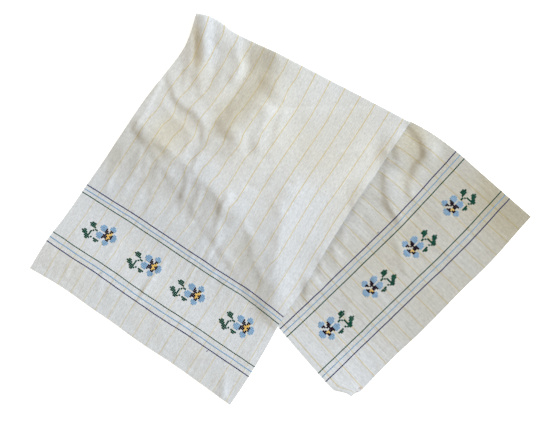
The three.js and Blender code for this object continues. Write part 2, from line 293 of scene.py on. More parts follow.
# The lines narrow and widen again once every pitch, and wander a little
LINE_PITCH = 4.0
LINE_MEAN, LINE_SWING = 0.86, 0.14
LINE_WANDER = 0.35
LINE_WANDER_PITCH = 23.0
LINE_HEIGHT = 0.5
# How far each band strays along the cloth at shares of the width
BAND_SHARES = (0.0, 0.14, 0.23, 0.31, 0.42, 0.54, 0.64, 0.72, 0.8, 0.87, 1.0)
BAND_STRAYS = [
    (0.0, -0.2, 0.9, 0.6, -0.9, -1.1, -0.2, 0.4, 0.0, -0.1, -0.3),
    (-0.5, -1.0, -0.7, -1.4, -1.5, -1.6, -1.2, 0.2, 2.1, 1.8, -0.3),
    (-0.7, -0.7, -0.6, -0.7, -0.5, 0.8, 1.8, 1.3, 1.0, 0.4, 0.0),
    (-3.1, -2.8, -1.9, -1.5, -0.5, 0.9, 2.6, 2.4, 2.3, 1.7, 0.5),
]

# One flower with its leaves, charted for cross stitch, its hem side down.
# B light blue, P purple, Y yellow, G green, and y yellow that the wrong side doesn't show
CHART = [
    "................BB....",
    "...............BBBB...",
    "..........BBB..BBBB...",
    ".........BBBBP..PP....",
    "...GGG...BBBBPP.Py.BB.",
    "..GGGG....BBBPPPyyPBBB",
    "...GGGG.......PyyPPBBB",
    ".......GG.BBBPPPYYPBBB",
    "......G..BBBBPPPYP.BB.",
    ".....G...BBBBP..PP....",
    ".GG..G....BBB..BBBB...",
    "GGGG.G.........BBBB...",
    ".GGGGG.G.GGGG...BB....",
    "...GGGG...GG..........",
    "....GG................",
]
# Thread of each letter, the width of its crosses on the right side and of its bars on the
# wrong side, and the length of those bars, in stitches
CHART_THREADS = {
    "B": ("light_blue", 0.80, 1.00, 1.05),
    "P": ("purple", 1.04, 1.08, 1.20),
    "Y": ("yellow", 0.72, 0.95, 1.05),
    "y": ("yellow", 0.72, 0.0, 0.0),
    "G": ("green", 0.97, 1.02, 1.30),
}
CHART_CENTRE = (15.0, 6.0)
# Height of the two threads of a cross, which lie over each other, and of a bar
UNDER_THREAD, OVER_THREAD, BAR_HEIGHT = 0.5, 0.75, 0.6
# Flowers: share of the width, place along the cloth, size of a stitch across and along,
# and which end they face
FLOWERS = [
    ("first end one", 0.1890, 129.0, 3.20, 3.00, 1),
    ("first end two", 0.4149, 127.8, 3.25, 3.00, 1),
    ("first end three", 0.6315, 128.8, 3.35, 2.90, 1),
    ("first end four", 0.8765, 131.4, 3.40, 3.10, 1),
    ("second end one", 0.1455, 1356.4, 3.40, 3.20, -1),
    ("second end two", 0.3796, 1357.9, 3.30, 3.10, -1),
    ("second end three", 0.6023, 1359.4, 3.25, 3.20, -1),
    ("second end four", 0.8257, 1359.1, 3.15, 3.15, -1),
]
# Knots and tails beside the lines: thread, place and run, each across and along the cloth
TAILS = [
    ("navy", 14.0, 187.4, 2.6, -0.6),
    ("navy", 392.0, 58.8, -1.4, -3.2),
    ("navy", 268.0, 1294.6, 3.0, -1.6),
    ("light_blue", 128.0, 69.0, -1.0, -2.6),
]
TAIL_WIDTH, TAIL_HEIGHT = 1.6, 1.0
# Running stitch of the hems
RUN_PITCH, RUN_LENGTH, RUN_WIDTH, RUN_HEIGHT = 5.0, 2.2, 0.5, 0.3
RUN_SLANT, SLANT_PITCH = 0.3, 9.0

# Painted light and shade, warmer in the painted shade and cooler in the painted light: share
# of the tone, warmth, reach to the left and to the right of the path as it runs, and path
TOP_PAINTED_LIGHT_AND_SHADE = [
    ("upper half", 0.04, 0.32, 230, 230, [(-150, 260), (40, 150), (150, 80)]),
    ("below the pleat", -0.05, 0.02, 110, 110, [(-300, 60), (-190, -30), (-80, -120)]),
    ("one layer deep", -0.09, 0.0, 4, 100, PLEAT_EDGE),
    ("wedge", 0.04, -0.22, 60, 60, [(60, 30), (10, -70), (0, -160)]),
    ("at the fold", -0.05, 0.02, 40, 40, [(-140, 330), (-30, 280)]),
    ("bank of the valley", -0.13, 0.42, 48, 48, [(-38, 280), (-34, 240), (-66, 195), (-98, 165)]),
    ("beyond the bank", -0.08, 0.12, 50, 50, [(0, 285), (12, 250)]),
    ("round end", -0.03, -0.20, 34, 34, [(-132, 335), (-128, 285)]),
    ("steep side of the round end", 0.0, 0.40, 14, 14, [(-156, 330), (-152, 270)]),
    ("foot of the wedge", -0.04, 0.06, 40, 40, [(8, -100), (2, -140)]),
    ("left end of the first hem", 0.0, 0.16, 60, 60, [(-440, -90), (-390, -110)]),
    ("left of the valley", -0.02, 0.40, 50, 50, [(-190, 150), (-215, 120)]),
    ("left margin", -0.05, 0.28, 60, 60, [(-300, 100), (-240, 140)]),
    ("right end of the first band", -0.02, 0.0, 60, 60, [(-120, -260), (-70, -240)]),
    ("middle of the left part", -0.03, 0.12, 60, 60, [(-230, 60), (-170, 10)]),
    ("first hem", -0.04, 0.05, 80, 80, [(-420, -90), (-110, -320)]),
    ("middle", 0.04, -0.03, 40, 40, [(-100, 75), (-80, 70)]),
    ("right strip", 0.07, 0.0, 40, 40, [(165, 115), (120, 50)]),
    ("near the notch", -0.16, 0.30, 44, 44, [(-60, -70), (-30, -150), (-25, -190)]),
    ("upper band", -0.03, 0.0, 50, 50, [(-330, 20), (-180, -70), (-40, -160)]),
]
# The lower layer's painted light and shade, with the same columns; the far corner is painted
# darker and warmer as shade
FLOOR_PAINTED_LIGHT_AND_SHADE = [
    ("far corner", -0.19, 0.80, 150, 150, [(470, -30), (450, 10)]),
    ("far selvedge", -0.05, 0.25, 90, 90, [(250, 150), (420, 20)]),
    ("beside the first flower", 0.15, -0.30, 120, 120, [(30, -250), (100, -310)]),
    ("dark side of the hooked ridge", -0.02, 0.35, 26, 30, [(252, 140), (250, 95), (232, 50)]),
    ("between the ridges", 0.03, 0.0, 40, 40, [(160, 45), (172, 20)]),
    ("puff by the fold", 0.0, 0.32, 40, 40, [(222, 152), (215, 125)]),
    ("second flowers", -0.03, 0.26, 90, 90, [(300, 0), (190, -80)]),
    ("middle of the second hem", -0.05, 0.15, 90, 90, [(340, -110), (280, -190)]),
    ("second hem", 0.07, -0.10, 80, 80, [(120, -330), (170, -280)]),
]
# Tone and warmth of the whole lower layer, under its painted light and shade
FLOOR_TONE, FLOOR_WARMTH = 0.87, 0.26
# Brown spots on the second end: across, along and reach
STAINS = [
    ("end of the second stripe", 41.0, 1476.0, 5.0),
    ("near the corner", 26.0, 1478.0, 4.0),
]


HASH_FACTORS = (374761393, 668265263, 974634777, 1274126177)
MASK_16, MASK_32 = 0xFFFF, 0xFFFFFFFF


def smooth(t):
    """None below 0, one above 1, and level at both."""
    c = np.clip(t, 0, 1)
    return c * c * (3 - 2 * c)


def bump(distance, reach):
    """One at the middle, none from the reach on, with no edge at either."""
    t = np.clip(distance / reach, 0, 1)
    return (1 - t * t) ** 2


def value_noise(u, v, seed):
    """Smooth noise from -1 to 1 with one knot for each unit of u and v."""
    iu, iv = np.floor(u).astype(np.int64), np.floor(v).astype(np.int64)
    fu, fv = smooth(u - iu), smooth(v - iv)

    def knot(a, b):
        """A hash of the knot's two numbers and the seed, spread from -1 to 1."""
        h = (a * HASH_FACTORS[0] + b * HASH_FACTORS[1] + seed * HASH_FACTORS[2]) & MASK_32
        h = ((h ^ (h >> 13)) * HASH_FACTORS[3]) & MASK_32
        return ((h ^ (h >> 16)) & MASK_16) / (MASK_16 / 2) - 1

    low = knot(iu, iv) * (1 - fu) + knot(iu + 1, iv) * fu
    high = knot(iu, iv + 1) * (1 - fu) + knot(iu + 1, iv + 1) * fu
    return low * (1 - fv) + high * fv


def beside_path(x, y, path):
    """The distance to a path, and the side: from 1 on its left to -1 on its right."""
    nearest = np.full(np.shape(x), np.inf)
    side = np.zeros(np.shape(x))
    for a, b in zip(path, path[1:]):
        dx, dy = b[0] - a[0], b[1] - a[1]
        length = math.hypot(dx, dy) or 1.0
        t = np.clip(((x - a[0]) * dx + (y - a[1]) * dy) / length**2, 0, 1)
        away = np.hypot(x - a[0] - t * dx, y - a[1] - t * dy)
        off = (dx * (y - a[1]) - dy * (x - a[0])) / length
        side = np.where(away < nearest, off / np.maximum(away, 1e-6), side)
        nearest = np.minimum(nearest, away)
    return nearest, side


def spread(x, y, table):
    """The sum of a table's amounts, each fading from its path to its reach."""
    total = np.zeros(np.shape(x))
    for _, amount, reach, path in table:
        distance, _ = beside_path(x, y, path)
        total += amount * bump(distance, reach)
    return total


def two_reaches(side, left_reach, right_reach):
    """The left reach at side 1, the right one at side -1, and between them in between."""
    return (left_reach + right_reach) / 2 + side * (left_reach - right_reach) / 2


def shading(x, y, table):
    """The sums of the painted tones and of the painted warmths of a table's rows of painted light
    and shade.
    """
    tone, warmth = np.zeros(np.shape(x)), np.zeros(np.shape(x))
    for _, lighter, warmer, left_reach, right_reach, path in table:
        distance, side = beside_path(x, y, path)
        share = bump(distance, two_reaches(side, left_reach, right_reach))
        tone += lighter * share
        warmth += warmer * share
    return tone, warmth


def relief(x, y, humps, creases):
    """Humps and creases, the creases with uneven courses and strengths. Never below none."""
    height = np.zeros(np.shape(x))
    u, v = x / STRAY_PITCH, y / STRAY_PITCH
    stray_x = CREASE_STRAY * value_noise(u, v, STRAY_X_SEED)
    stray_y = CREASE_STRAY * value_noise(u, v, STRAY_Y_SEED)
    strength = 1 + CREASE_UNEVENNESS * value_noise(u, v, STRENGTH_SEED)
    for _, rise, left_reach, right_reach, path in creases:
        distance, side = beside_path(x + stray_x, y + stray_y, path)
        t = np.clip(distance / two_reaches(side, left_reach, right_reach), 0, 1)
        height += rise * strength * (1 - t) ** 2 * (1 + t)
    for _, hump_x, hump_y, reach, rise in humps:
        height += rise * bump(np.hypot(x - hump_x, y - hump_y), reach)
    return (height + np.sqrt(height**2 + 4 * SOFT_CUT**2)) / 2


def dense_rulings(rulings, spacing):
    """The rulings of a layer with others between them on smooth curves, one row each."""
    table = np.array([ruling[1:] for ruling in rulings], float)
    rows = []
    for i in range(len(table) - 1):
        before, start = table[max(i - 1, 0)], table[i]
        end, after = table[i + 1], table[min(i + 2, len(table) - 1)]
        left_run = math.hypot(*(end[0:2] - start[0:2]))
        right_run = math.hypot(*(end[2:4] - start[2:4]))
        parts = max(1, round(max(left_run, right_run) / spacing))
        for part in range(parts):
            t = part / parts
            cubic = (
                2 * start
                + (end - before) * t
                + (2 * before - 5 * start + 4 * end - after) * t**2
                + (3 * start - before - 3 * end + after) * t**3
            )
            rows.append(cubic / 2)
    rows.append(table[-1])
    return np.array(rows)


def plan_points(rows, across):
    """x and y of the rulings' points at shares of the way across, a grid of each."""
    left_x, left_y, right_x, right_y, bow = (rows[:, i : i + 1] for i in range(5))
    dx, dy = right_x - left_x, right_y - left_y
    length = np.hypot(dx, dy)
    off = 4 * bow * across * (1 - across)
    x = left_x + across * dx - off * dy / length
    y = left_y + across * dy + off * dx / length
    for _, pull_x, pull_y, reach, shift_x, shift_y in PULLS:
        share = bump(np.hypot(x - pull_x, y - pull_y), reach)
        x, y = x + share * shift_x, y + share * shift_y
    return x, y


def layer_outline(rulings):
    """The points round a layer, seen from above."""
    rows = dense_rulings(rulings, 2 * COARSE_ROWS)
    shares = np.linspace(0, 1, OUTLINE_PARTS + 1)
    x, y = plan_points(rows, shares[None, :])
    loop = [*zip(x[0], y[0]), *zip(x[:, -1], y[:, -1])]
    loop += [*zip(x[-1, ::-1], y[-1, ::-1]), *zip(x[::-1, 0], y[::-1, 0])]
    return loop


def is_inside(x, y, outline):
    inside = np.zeros(np.shape(x), bool)
    for (xi, yi), (xj, yj) in zip(outline, outline[-1:] + outline[:-1]):
        if yi == yj:
            continue
        crosses = ((yi > y) != (yj > y)) & (x < (xj - xi) * (y - yi) / (yj - yi) + xi)
        inside ^= crosses
    return inside


def cover(x, y, outline, step_width, level_width=0.0):
    """One over a layer and for the level width beyond its edge, then sinking to none."""
    distance, _ = beside_path(x, y, outline + outline[:1])
    beyond = 1 - smooth((distance - level_width) / step_width)
    return np.where(is_inside(x, y, outline), 1.0, beyond)


# The layers under the top one, from the floor up: outline, how wide the step beyond its
# edge is, and how far beyond the edge the step starts
UNDER_LAYERS = [
    (layer_outline(FLOOR_START + FLOOR_END[1:]), 14.0, 0.0),
    (layer_outline(PLEAT_LAYER), 60.0, 14.0),
    (layer_outline(TURNED_LAYER), 60.0, 14.0),
]
TOP_OUTLINE = layer_outline(TOP_LAYER)


def layer_height(x, y, level):
    """Height of the middle of a layer, counted from the one on the floor."""
    height = FLOOR_MIDDLE + relief(x, y, FLOOR_HUMPS, FLOOR_CREASES)
    for outline, step_width, level_width in UNDER_LAYERS[:level]:
        height = height + LAYER_PITCH * cover(x, y, outline, step_width, level_width)
    if level == len(UNDER_LAYERS):
        height = height + relief(x, y, TOP_HUMPS, TOP_CREASES)
    return height


ACROSS = np.linspace(0, 1, COLUMNS + 1)[None, :]


def grid_of(x, y, z, rows):
    """A grid of x, y, z, the place along the cloth, and the share across."""
    along = rows[:, 5:6] * (1 - ACROSS) + rows[:, 6:7] * ACROSS
    across = np.repeat(ACROSS, len(rows), axis=0)
    return np.stack([x, y, z, along, across], axis=-1)


def crumple(across, along, seed):
    """Uneven creases, mostly along the cloth, from none to one."""

    def noise(u, v, pitch, seed):
        return value_noise(u / pitch[0], v / pitch[1], seed)

    wander = CRUMPLE_WANDER * noise(across, along, WANDER_PITCH, seed)
    broad = noise(across + wander, along, BROAD_PITCH, seed + 1)
    narrow = noise(across - wander, along, NARROW_PITCH, seed + 2)
    skewed = noise(across + SKEW * along, along - SKEW * across, SKEWED_PITCH, seed + 3)
    return 0.5 * (1 - np.abs(broad)) + 0.3 * (1 - np.abs(skewed)) + 0.1 * (1 + narrow)


def layer_grid(rulings, level, spacing, crumples=(), seed=0):
    """A layer, with fine crumples that leave out what is covered and the end at a fold."""
    rows = dense_rulings(rulings, spacing)
    x, y = plan_points(rows, ACROSS)
    grid = grid_of(x, y, layer_height(x, y, level), rows)
    if crumples:
        along, across = grid[..., 3], grid[..., 4] * WIDTH
        amount = spread(x, y, crumples)
        from_fold = along[-1] - along
        if level == 0:
            amount = amount * (1 - cover(x, y, TOP_OUTLINE, UNCOVERED_STEP))
            from_fold = along - along[0]
        amount = amount * smooth(from_fold / CRUMPLE_FADE)
        grid[..., 2] += amount * crumple(across, along, seed)
    return grid


def fold_grid(rulings, from_level, to_level, side):
    """A flattened half circle from one layer to the next, left or right of the ruling."""
    ruling = np.array([rulings[-1][1:]], float)
    dx, dy = ruling[0, 2] - ruling[0, 0], ruling[0, 3] - ruling[0, 1]
    length = math.hypot(dx, dy)
    x, y = plan_points(ruling, ACROSS)
    start, end = layer_height(x, y, from_level), layer_height(x, y, to_level)
    radius = np.abs(start - end) / 2
    pressed = FOLD_FLATNESS * FOLD_DEPTH + (1 - FOLD_FLATNESS) * radius
    depth = np.minimum(radius, pressed)
    grids = []
    for step in range(1, FOLD_STEPS):
        angle = math.pi * step / FOLD_STEPS
        out = depth * math.sin(angle) * side
        height = (start + end) / 2 + (start - end) / 2 * math.cos(angle)
        grids.append(grid_of(x - dy / length * out, y + dx / length * out, height, ruling))
    return np.concatenate(grids)


def along_direction(points, axis):
    """Unit vectors along a grid's rows or columns, even where their spacing changes."""
    step = np.diff(points, axis=axis)
    step /= np.maximum(np.linalg.norm(step, axis=-1, keepdims=True), 1e-9)
    ahead = np.concatenate([step, np.take(step, [-1], axis=axis)], axis=axis)
    behind = np.concatenate([np.take(step, [0], axis=axis), step], axis=axis)
    both = ahead + behind
    return both / np.maximum(np.linalg.norm(both, axis=-1, keepdims=True), 1e-9)


def surface_normals(points):
    normal = np.cross(along_direction(points, 1), along_direction(points, 0))
    return normal / np.linalg.norm(normal, axis=-1, keepdims=True)


def make_cloth():
    """The middle surface of the whole cloth, from the first hem to the second."""
    top = layer_grid(TOP_LAYER, 3, FINE_ROWS, TOP_CRUMPLES, TOP_CRUMPLE_SEED)
    floor_end = layer_grid(FLOOR_END, 0, FINE_ROWS, FLOOR_CRUMPLES, FLOOR_CRUMPLE_SEED)
    grid = np.concatenate([
        top,
        fold_grid(TOP_LAYER, 3, 2, 1),
        layer_grid(TURNED_LAYER, 2, COARSE_ROWS),
        fold_grid(TURNED_LAYER, 2, 1, -1),
        layer_grid(PLEAT_LAYER, 1, COARSE_ROWS),
        fold_grid(PLEAT_LAYER, 1, 0, 1),
        layer_grid(FLOOR_START, 0, COARSE_ROWS)[:-1],
        floor_end,
    ])
    grid[..., 1] += OUTLINE_SHIFT_Y
    return grid, len(top), len(floor_end)


GRID, TOP_ROWS, FLOOR_ROWS = make_cloth()
NORMALS = surface_normals(GRID[..., :3])


# Materials


class Nodes:
    """Short calls for building a node material."""

    def __init__(self, name):
        self.material = bpy.data.materials.new(name)
        self.material.use_nodes = True
        self.tree = self.material.node_tree
        self.tree.nodes.clear()

    def add(self, kind, settings=None, inputs=None):
        node = self.tree.nodes.new(kind)
        for key, value in (settings or {}).items():
            setattr(node, key, value)
        for key, value in (inputs or {}).items():
            if isinstance(value, bpy.types.NodeSocket):
                self.tree.links.new(value, node.inputs[key])
            else:
                node.inputs[key].default_value = value
        return node

    def math(self, operation, a, b=0.0, clamp=False):
        settings = {"operation": operation, "use_clamp": clamp}
        return self.add("ShaderNodeMath", settings, {0: a, 1: b}).outputs[0]

    def ramp(self, value, low, high, to_low=0.0, to_high=1.0):
        """The value's share of the way from low to high, put on to_low to to_high."""
        inputs = {0: value, 1: low, 2: high, 3: to_low, 4: to_high}
        return self.add("ShaderNodeMapRange", {"clamp": True}, inputs).outputs[0]

    def mix(self, share, a, b, blend="MIX"):
        settings = {"data_type": "RGBA", "blend_type": blend}
        return self.add("ShaderNodeMix", settings, {0: share, 6: a, 7: b}).outputs[2]

    def attribute(self, name):
        return self.add("ShaderNodeAttribute", {"attribute_name": name})

    def noise(self, vector, scale, detail, roughness):
        inputs = {"Vector": vector, "Scale": scale, "Detail": detail, "Roughness": roughness}
        return self.add("ShaderNodeTexNoise", {"noise_dimensions": "3D"}, inputs).outputs["Fac"]

    def bumps(self, height, strength, distance):
        inputs = {"Strength": strength, "Distance": distance, "Height": height}
        return self.add("ShaderNodeBump", inputs=inputs).outputs[0]

    def cotton(self, colour, normal, surface):
        inputs = {"Base Color": colour, "Normal": normal, **surface}
        return self.finish(self.add("ShaderNodeBsdfPrincipled", inputs=inputs))

    def finish(self, shader):
        self.add("ShaderNodeOutputMaterial", inputs={"Surface": shader.outputs[0]})
        return self.material


def rgb(red, green, blue):
    return (red, green, blue, 1.0)


CLOTH_COLOUR = rgb(0.655, 0.668, 0.680)
# The warmer colour, mixed in by the warmth of the painted shade and by the clouds
CLOTH_WARM = rgb(0.665, 0.61, 0.47)
GOLD = rgb(0.60, 0.46, 0.16)
STAIN = rgb(0.36, 0.17, 0.06)
FLECK = rgb(0.33, 0.26, 0.21)
CLOTH_SURFACE = {
    "Roughness": 0.92,
    "Specular IOR Level": 0.15,
    "Sheen Weight": 0.08,
    "Sheen Roughness": 0.5,
}
THREAD_SURFACE = {"Roughness": 0.8, "Specular IOR Level": 0.03}
YARN_PITCH = 0.8

# Noises of the cloth: scale across and along it, detail and roughness
CLOTH_NOISES = {
    "streaks": (0.50, 0.012, 3.0, 0.60),
    "slubs": (0.03, 0.60, 3.0, 0.60),
    "crinkle": (0.15, 0.022, 3.0, 0.55),
    "scuffs": (0.07, 0.07, 4.0, 0.60),
    "grain": (0.42, 0.15, 2.0, 0.60),
    "clouds": (0.014, 0.012, 2.0, 0.50),
}
# The part of a noise's range that counts, and a narrower part
NOISE_LOW, NOISE_HIGH = 0.3, 0.7
MIDDLE_LOW, MIDDLE_HIGH = 0.35, 0.65
# How far each makes the cloth lighter and darker
TONE_SWINGS = {"streaks": 0.035, "slubs": 0.035, "grain": 0.10, "scuffs": 0.025}
WEAVE_SWING = 0.03
# The height in millimetres that each gives the cloth's surface
RELIEF_HEIGHTS = {"crinkle": 0.7, "streaks": 0.12, "slubs": 0.07, "scuffs": 0.35}
WEAVE_HEIGHT = 0.03
# The selvedges are a little lighter
SELVEDGE, SELVEDGE_FADE, SELVEDGE_TONE = 9.0, 1.5, 1.012
# How much cooler and warmer the clouds are
CLOUD_COOL, CLOUD_WARM = -0.05, 0.09
# The gold where the slubs hide most of it
GOLD_WORN = 0.7
# Flecks: pitch, the share of the places without one, radius in pitches, and strength
FLECK_PITCH, FLECK_GAPS, FLECK_RADIUS, FLECK_STRENGTH = 17.0, 0.35, 0.055, 0.5
# The stains where the scuffs hide most of them
STAIN_WORN = 0.4


def cloth_material():
    n = Nodes("cream_cotton")
    place = n.attribute("cloth_mm").outputs["Vector"]
    parts = n.add("ShaderNodeSeparateXYZ", inputs={0: place})
    across, along = parts.outputs[0], parts.outputs[1]

    def stretched(across_scale, along_scale):
        scaled = {
            0: n.math("MULTIPLY", across, across_scale),
            1: n.math("MULTIPLY", along, along_scale),
        }
        return n.add("ShaderNodeCombineXYZ", inputs=scaled).outputs[0]

    def product(first, *others):
        for other in others:
            first = n.math("MULTIPLY", first, other)
        return first

    def yarn(position):
        return n.math("SINE", n.math("MULTIPLY", position, 2 * math.pi / YARN_PITCH))

    noises = {
        name: n.noise(stretched(u_scale, v_scale), 1.0, detail, roughness)
        for name, (u_scale, v_scale, detail, roughness) in CLOTH_NOISES.items()
    }
    weave = n.math("MULTIPLY", yarn(along), yarn(across))

    from_edge = n.math("MINIMUM", across, n.math("SUBTRACT", WIDTH, across))
    # The tone attribute holds the painted light and shade; the noises, the weave and the
    # selvedges add the cloth's own tone
    tone = product(
        n.attribute("tone").outputs["Fac"],
        *(
            n.ramp(noises[name], NOISE_LOW, NOISE_HIGH, 1 - swing, 1 + swing)
            for name, swing in TONE_SWINGS.items()
        ),
        n.ramp(weave, -1.0, 1.0, 1 - WEAVE_SWING, 1 + WEAVE_SWING),
        n.ramp(from_edge, SELVEDGE, SELVEDGE + SELVEDGE_FADE, SELVEDGE_TONE, 1.0),
    )
    # The warmth attribute holds the warmer colour of the painted shade; the clouds add warmth at
    # random
    warmth = n.attribute("warmth").outputs["Fac"]
    clouds = n.ramp(noises["clouds"], MIDDLE_LOW, MIDDLE_HIGH, CLOUD_COOL, CLOUD_WARM)
    warm_share = n.math("ADD", warmth, clouds, clamp=True)
    colour = n.mix(warm_share, CLOTH_COLOUR, CLOTH_WARM)

    # A stripe shows where its phase is near a whole number between the first and the last
    stripe = n.attribute("stripe").outputs["Fac"]
    off = n.math("ABSOLUTE", n.math("SUBTRACT", stripe, n.math("ROUND", stripe)))
    half = STRIPE_WIDTH / STRIPE_PITCH / 2
    gold_share = product(
        n.ramp(off, half * (1 - STRIPE_SOFTNESS), half * (1 + STRIPE_SOFTNESS), 1.0, 0.0),
        n.math("GREATER_THAN", stripe, -0.5),
        n.math("LESS_THAN", stripe, STRIPE_COUNT - 0.5),
        n.ramp(noises["slubs"], NOISE_LOW, NOISE_HIGH, GOLD_WORN, 1.0),
        n.attribute("gold").outputs["Fac"],
    )
    colour = n.mix(gold_share, colour, GOLD)

    spots = n.add(
        "ShaderNodeTexVoronoi",
        {"voronoi_dimensions": "2D"},
        {"Vector": stretched(1 / FLECK_PITCH, 1 / FLECK_PITCH), "Scale": 1.0},
    )
    chosen = n.add("ShaderNodeSeparateColor", inputs={0: spots.outputs["Color"]})
    radius = n.ramp(chosen.outputs[0], FLECK_GAPS, 1.0, 0.0, FLECK_RADIUS)
    inside = n.math("LESS_THAN", spots.outputs["Distance"], radius)
    colour = n.mix(n.math("MULTIPLY", inside, FLECK_STRENGTH), colour, FLECK)
    worn = n.ramp(noises["scuffs"], 0.35, 0.6, STAIN_WORN, 1.0)
    colour = n.mix(product(n.attribute("stain").outputs["Fac"], worn), colour, STAIN)

    grey = n.add("ShaderNodeCombineColor", inputs={0: tone, 1: tone, 2: tone}).outputs[0]
    colour = n.mix(1.0, colour, grey, "MULTIPLY")

    height = n.math("MULTIPLY", weave, WEAVE_HEIGHT)
    for name, rise in RELIEF_HEIGHTS.items():
        height = n.math("ADD", height, n.math("MULTIPLY", noises[name], rise))
    return n.cotton(colour, n.bumps(height, 1.0, MM), CLOTH_SURFACE)


# Cells per metre of the thread's noises, and the height of its strands
STRAND_SCALE, PATCH_SCALE = 900.0, 110.0
STRAND_HEIGHT = 0.2


def thread_material(name, colour, dark):
    """Soft cotton thread: a fine twist, and some strands darker than others."""
    n = Nodes(name)
    where = n.add("ShaderNodeTexCoord").outputs["Object"]
    strands = n.noise(where, STRAND_SCALE, 2.0, 0.6)
    patches = n.noise(where, PATCH_SCALE, 2.0, 0.5)
    both = n.math("ADD", n.math("MULTIPLY", strands, 0.5), n.math("MULTIPLY", patches, 0.5))
    shaded = n.mix(n.ramp(both, MIDDLE_LOW, MIDDLE_HIGH), dark, colour)
    return n.cotton(shaded, n.bumps(strands, 0.6, STRAND_HEIGHT * MM), THREAD_SURFACE)


# Thread, name of its material, its colour, and the colour of its darker strands
THREAD_COLOURS = [
    ("navy", "navy_cotton", (0.024, 0.036, 0.14), (0.010, 0.016, 0.07)),
    ("light_blue", "light_blue_cotton", (0.25, 0.41, 0.59), (0.16, 0.30, 0.47)),
    ("green", "green_cotton", (0.008, 0.08, 0.05), (0.003, 0.038, 0.024)),
    ("purple", "purple_cotton", (0.016, 0.006, 0.018), (0.006, 0.002, 0.008)),
    ("yellow", "yellow_cotton", (0.84, 0.56, 0.13), (0.68, 0.40, 0.07)),
    ("cream", "cream_cotton_thread", (0.66, 0.64, 0.58), (0.55, 0.52, 0.45)),
]
THREADS = {
    thread: thread_material(name, rgb(*colour), rgb(*dark))
    for thread, name, colour, dark in THREAD_COLOURS
}


# Meshes


def mesh_object(name, points, faces, material, is_smooth=True):
    """An object of points in millimetres. is_smooth is for all faces, or one for each."""
    mesh = bpy.data.meshes.new(name)
    mesh.from_pydata((np.asarray(points) * MM).tolist(), [], faces)
    mesh.materials.append(material)
    mesh.polygons.foreach_set("use_smooth", np.full(len(faces), is_smooth))
    mesh.update()
    made = bpy.data.objects.new(name, mesh)
    bpy.context.scene.collection.objects.link(made)
    return made


def set_attribute(mesh, name, kind, field, values):
    layer = mesh.attributes.new(name, kind, "POINT")
    layer.data.foreach_set(field, np.asarray(values, np.float32).ravel())


def cloth_values(x, y, along, across):
    """What the cloth's material needs at each point of the grid."""
    is_top = along < LENGTH / 2
    drift = np.where(is_top, spread(x, y, TOP_DRIFTS), 0.0)
    first = np.interp(along, FIRST_STRIPE_ALONG, FIRST_STRIPE_SHARE)
    # Painted light and shade, as tone and warmth, from the tables of painted light and shade
    top_painted_tone, top_painted_warmth = shading(x, y, TOP_PAINTED_LIGHT_AND_SHADE)
    floor_painted_tone, floor_painted_warmth = shading(x, y, FLOOR_PAINTED_LIGHT_AND_SHADE)
    stain = np.zeros_like(x)
    for _, stain_across, stain_along, reach in STAINS:
        off = np.hypot(across * WIDTH - stain_across, along - stain_along)
        stain = np.maximum(stain, bump(off, reach))
    return {
        "stripe": (across - drift / WIDTH - first) / STRIPE_PITCH,
        "gold": np.interp(along, GOLD_ALONG, GOLD_STRENGTH),
        "tone": np.where(is_top, 1 + top_painted_tone, FLOOR_TONE * (1 + floor_painted_tone)),
        "warmth": np.where(is_top, top_painted_warmth, FLOOR_WARMTH + floor_painted_warmth),
        "stain": stain,
    }


def sheet_mesh():
    """Faces of the cloth's two sides and rims, and the side's point behind each point.

    The rims have points of their own, so that the cloth keeps its shading up to its edges.
    """
    rows, columns = GRID.shape[:2]
    upper = np.arange(rows * columns).reshape(rows, columns)
    lower = upper + rows * columns
    sides = []
    for index, order in ((upper, (0, 1, 2, 3)), (lower, (0, 3, 2, 1))):
        corners = (index[:-1, :-1], index[:-1, 1:], index[1:, 1:], index[1:, :-1])
        sides.append(np.stack([corners[i] for i in order], -1).reshape(-1, 4))
    rims, sources = [], [np.arange(2 * rows * columns)]
    for up, down in (
        (upper[:, 0], lower[:, 0]),
        (upper[::-1, -1], lower[::-1, -1]),
        (upper[0, ::-1], lower[0, ::-1]),
        (upper[-1, :], lower[-1, :]),
    ):
        first = sum(len(part) for part in sources) + np.arange(len(up) - 1)
        rims.append(np.stack([first, first + 1, first + 1 + len(up), first + len(up)], -1))
        sources += [up, down]
    return np.concatenate(sides), np.concatenate(rims), np.concatenate(sources)


def build_cloth():
    middle = GRID[..., :3]
    along, across = GRID[..., 3], GRID[..., 4]
    from_end = np.minimum(along, LENGTH - along)
    fullness = HEM_FULLNESS - (HEM_FULLNESS - 1) * smooth(from_end / HEM - 1)
    above = middle + NORMALS * (THICKNESS / 2 * fullness)[..., None]
    below = middle - NORMALS * THICKNESS / 2
    points = np.concatenate([above.reshape(-1, 3), below.reshape(-1, 3)])
    sides, rims, source = sheet_mesh()
    faces = np.concatenate([sides, rims])
    is_side = np.arange(len(faces)) < len(sides)
    cloth = mesh_object("cloth", points[source], faces.tolist(), cloth_material(), is_side)

    place = np.stack([across * WIDTH, along, np.zeros_like(along)], -1).reshape(-1, 3)
    both_sides = np.concatenate([place, place])[source]
    set_attribute(cloth.data, "cloth_mm", "FLOAT_VECTOR", "vector", both_sides)
    x, y = GRID[..., 0], GRID[..., 1] - OUTLINE_SHIFT_Y
    for name, value in cloth_values(x, y, along, across).items():
        both_sides = np.concatenate([value.ravel(), value.ravel()])[source]
        set_attribute(cloth.data, name, "FLOAT", "value", both_sides)
    return cloth


